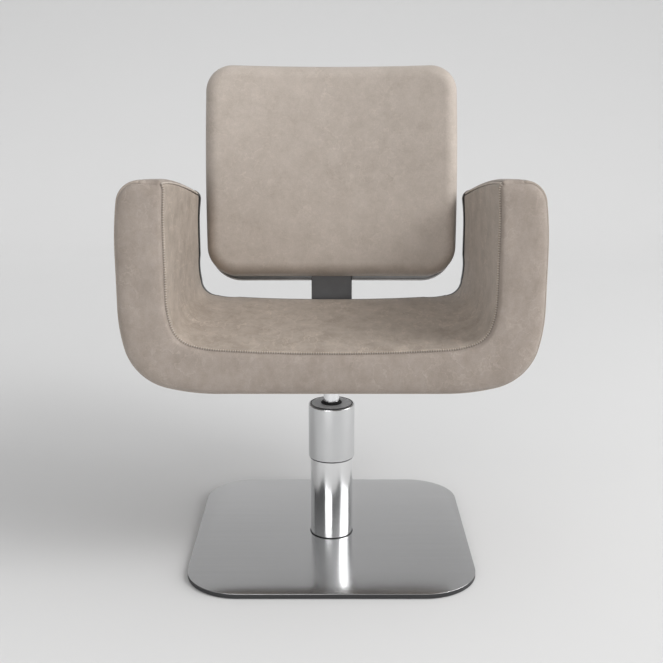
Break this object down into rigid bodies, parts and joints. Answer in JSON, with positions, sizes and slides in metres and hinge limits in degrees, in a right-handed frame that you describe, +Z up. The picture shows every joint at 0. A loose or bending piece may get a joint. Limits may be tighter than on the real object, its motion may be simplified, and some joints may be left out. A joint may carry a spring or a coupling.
{
  "type": "styling chair",
  "caption": "Hydraulic styling chair: square plate base, stepped column with foot pedal, U-shaped upholstered seat with arms and a curved backrest.",
  "frame": {"origin": "on the floor under the middle of the base, on the column's axis", "axes": "+Z up, -Y towards the chair's front, +X to the right seen from the front"},
  "size_m": [0.694, 0.6232, 0.8903],
  "materials": {
    "skin": "satin",
    "plate": "satin",
    "chrome": "polished",
    "cap_steel": "satin",
    "bolt_steel": "satin",
    "casting": "satin",
    "bronze": "satin",
    "rubber": "matte",
    "frame_paint": "satin",
    "plywood": "matte",
    "foam": "matte",
    "leather": "satin",
    "rear_vinyl": "satin",
    "shell_plastic": "satin"
  },
  "bodies": {
    "base": {"base_pads": "rubber", "base_plate": "plate", "base_skin": "skin", "base_bolts": "bolt_steel", "pump_foot": "casting", "cylinder_tube": "bolt_steel", "reservoir_tube": "casting", "pump_head": "casting", "guide_bush": "bronze", "rod_seal": "rubber", "rod_wiper": "rubber", "top_cap": "cap_steel", "cap_ring": "rubber", "upper_sleeve": "chrome", "sleeve_ring": "rubber", "lower_sleeve": "chrome", "foot_gasket": "rubber", "pivot_pin": "bolt_steel"},
    "pedal": {"pedal_lever": "chrome", "pedal_pad": "rubber", "nose_roller": "bolt_steel", "roller_pin": "bolt_steel"},
    "plunger": {"pump_plunger": "bolt_steel", "plunger_spring": "bolt_steel"},
    "piston": {"piston_head": "bolt_steel", "piston_seal": "rubber", "thrust_washer": "bronze"},
    "seat": {"ram": "chrome", "seat_hub": "frame_paint", "hub_bolts": "bolt_steel", "seat_plate": "frame_paint", "packer_bars": "plywood", "seat_bolts": "bolt_steel", "spine": "frame_paint", "spine_bolts": "bolt_steel", "seat_board": "plywood", "corner_board_left": "plywood", "corner_board_right": "plywood", "arm_board_left": "plywood", "arm_board_right": "plywood", "seat_foam": "foam", "corner_foam_left": "foam", "corner_foam_right": "foam", "arm_foam_left": "foam", "arm_foam_right": "foam", "inner_cover": "leather", "trim_band": "leather", "outer_cover": "leather", "rear_cover": "rear_vinyl", "back_board": "plywood", "back_foam": "foam", "back_cover": "leather", "back_shell": "shell_plastic", "back_bolts": "bolt_steel", "shell_screws": "shell_plastic"}
  },
  "joints": [
    {"name": "pedal_press", "type": "hinge", "parent": "base", "child": "pedal", "pos_m": [0, 0.056, 0.038], "axis": [1, 0, 0], "range_deg": [-12, 4], "stiffness_Nm_per_rad": 8, "springref_deg": 5.16},
    {"name": "plunger_slide", "type": "slide", "parent": "base", "child": "plunger", "axis": [0, 0, 1], "range_m": [-0.00205, 0.0061], "deforming": ["plunger_spring"]},
    {"name": "lift", "type": "slide", "parent": "base", "child": "piston", "axis": [0, 0, 1], "range_m": [0, 0.14]},
    {"name": "swivel", "type": "hinge", "parent": "piston", "child": "seat", "pos_m": [0, 0, 0.09], "axis": [0, 0, 1], "continuous": true}
  ],
  "couplings": [
    {"joint": "plunger_slide", "follows": "pedal_press", "m_per_rad": -0.029}
  ]
}
